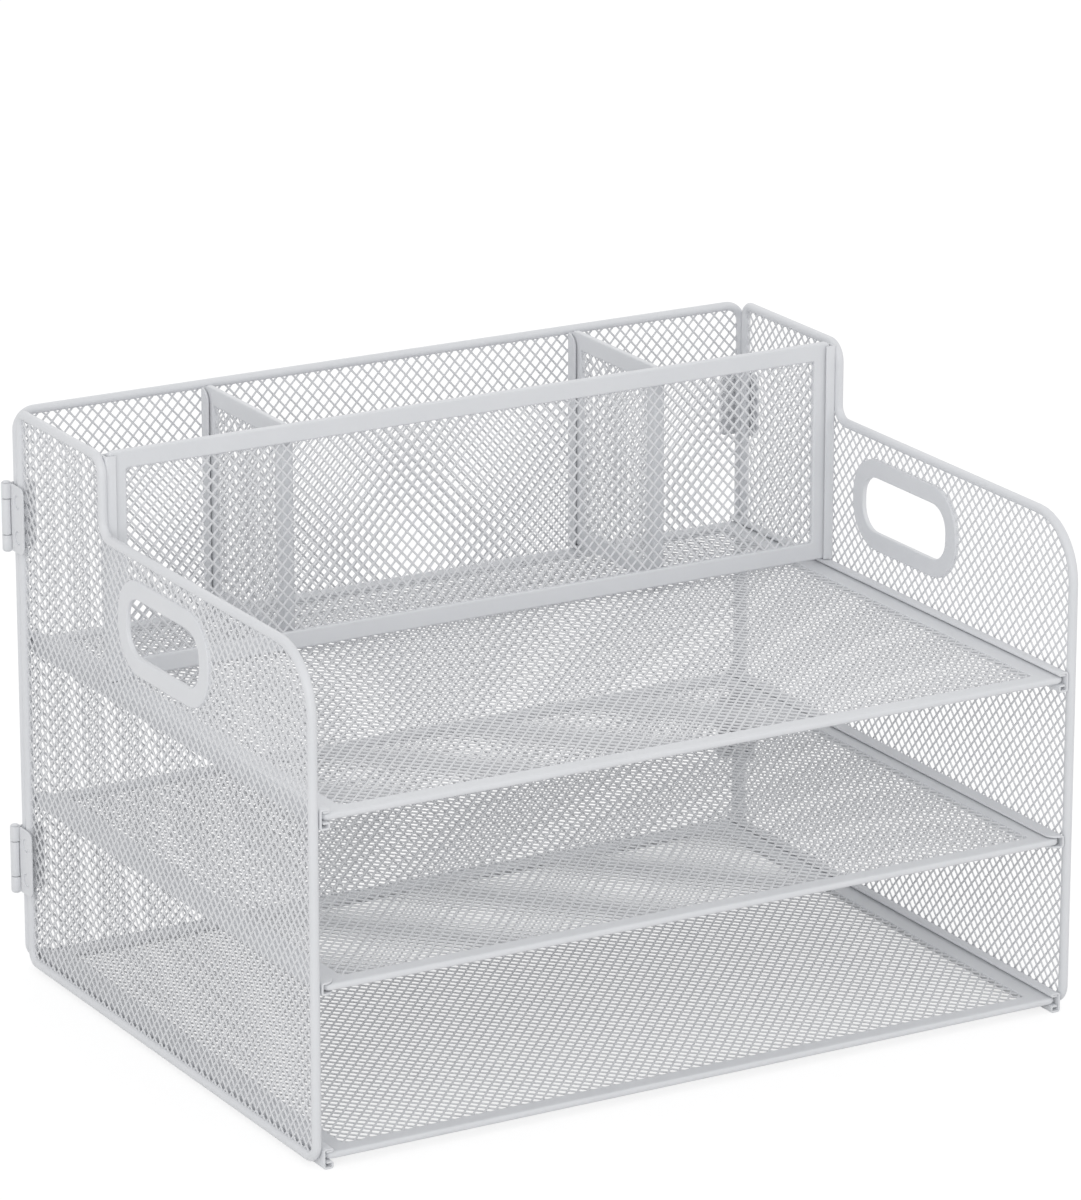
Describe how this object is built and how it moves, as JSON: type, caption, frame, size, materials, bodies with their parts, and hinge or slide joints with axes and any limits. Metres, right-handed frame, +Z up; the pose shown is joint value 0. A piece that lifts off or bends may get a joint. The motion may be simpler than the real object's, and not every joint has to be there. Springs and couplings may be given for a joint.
{
  "type": "desk organizer shelf",
  "caption": "Steel mesh desk organizer: pull-out letter trays in side rails, a divided upright rear section, lift-out panels and side panels with hand holes on rear hinges.",
  "frame": {"origin": "on the desk, under the middle of the shelf's bounding box", "axes": "+X to the right as seen from the front, -Y towards the front where the trays pull out, +Z up"},
  "size_m": [0.338, 0.2484, 0.2291],
  "materials": {
    "powder_coated_steel": "satin powder coat",
    "coated_mesh": "satin powder coat on expanded mesh",
    "pin_steel": "steel pin with powder coat over its heads"
  },
  "bodies": {
    "back_frame": {"back_rim": "powder_coated_steel", "back_mesh": "coated_mesh", "left_back_channel": "powder_coated_steel", "right_back_channel": "powder_coated_steel", "left_lower_back_leaf": "powder_coated_steel", "left_upper_back_leaf": "powder_coated_steel", "right_lower_back_leaf": "powder_coated_steel", "right_upper_back_leaf": "powder_coated_steel", "left_lower_hinge_pin": "pin_steel", "left_upper_hinge_pin": "pin_steel", "right_lower_hinge_pin": "pin_steel", "right_upper_hinge_pin": "pin_steel"},
    "left_side": {"left_side_rim": "powder_coated_steel", "left_side_mesh": "coated_mesh", "left_handle_plate": "powder_coated_steel", "left_bottom_rail": "powder_coated_steel", "left_middle_rail": "powder_coated_steel", "left_top_rail": "powder_coated_steel", "left_panel_channel": "powder_coated_steel", "left_lower_side_leaf": "powder_coated_steel", "left_upper_side_leaf": "powder_coated_steel"},
    "right_side": {"right_side_rim": "powder_coated_steel", "right_side_mesh": "coated_mesh", "right_handle_plate": "powder_coated_steel", "right_bottom_rail": "powder_coated_steel", "right_middle_rail": "powder_coated_steel", "right_top_rail": "powder_coated_steel", "right_panel_channel": "powder_coated_steel", "right_lower_side_leaf": "powder_coated_steel", "right_upper_side_leaf": "powder_coated_steel"},
    "bottom_tray": {"bottom_tray_frame": "powder_coated_steel", "bottom_tray_mesh": "coated_mesh"},
    "middle_tray": {"middle_tray_frame": "powder_coated_steel", "middle_tray_mesh": "coated_mesh"},
    "top_tray": {"top_tray_frame": "powder_coated_steel", "top_tray_mesh": "coated_mesh"},
    "front_panel": {"front_panel_frame": "powder_coated_steel", "front_panel_mesh": "coated_mesh", "left_front_channel": "powder_coated_steel", "right_front_channel": "powder_coated_steel"},
    "left_divider": {"left_divider_frame": "powder_coated_steel", "left_divider_mesh": "coated_mesh"},
    "right_divider": {"right_divider_frame": "powder_coated_steel", "right_divider_mesh": "coated_mesh"}
  },
  "joints": [
    {"name": "left_side_hinge", "type": "hinge", "parent": "back_frame", "child": "left_side", "pos_m": [-0.167, 0.1222, 0.1], "axis": [0, 0, -1], "range_deg": [0, 180]},
    {"name": "right_side_hinge", "type": "hinge", "parent": "back_frame", "child": "right_side", "pos_m": [0.167, 0.1222, 0.1], "axis": [0, 0, 1], "range_deg": [0, 180]},
    {"name": "bottom_tray_slide", "type": "slide", "parent": "back_frame", "child": "bottom_tray", "axis": [0, -1, 0], "range_m": [0, 0.245]},
    {"name": "middle_tray_slide", "type": "slide", "parent": "back_frame", "child": "middle_tray", "axis": [0, -1, 0], "range_m": [0, 0.245]},
    {"name": "top_tray_slide", "type": "slide", "parent": "back_frame", "child": "top_tray", "axis": [0, -1, 0], "range_m": [0, 0.245]},
    {"name": "front_panel_lift", "type": "slide", "parent": "back_frame", "child": "front_panel", "axis": [0, 0, 1], "range_m": [0, 0.095]},
    {"name": "left_divider_lift", "type": "slide", "parent": "back_frame", "child": "left_divider", "axis": [0, 0, 1], "range_m": [0, 0.095]},
    {"name": "right_divider_lift", "type": "slide", "parent": "back_frame", "child": "right_divider", "axis": [0, 0, 1], "range_m": [0, 0.095]}
  ]
}
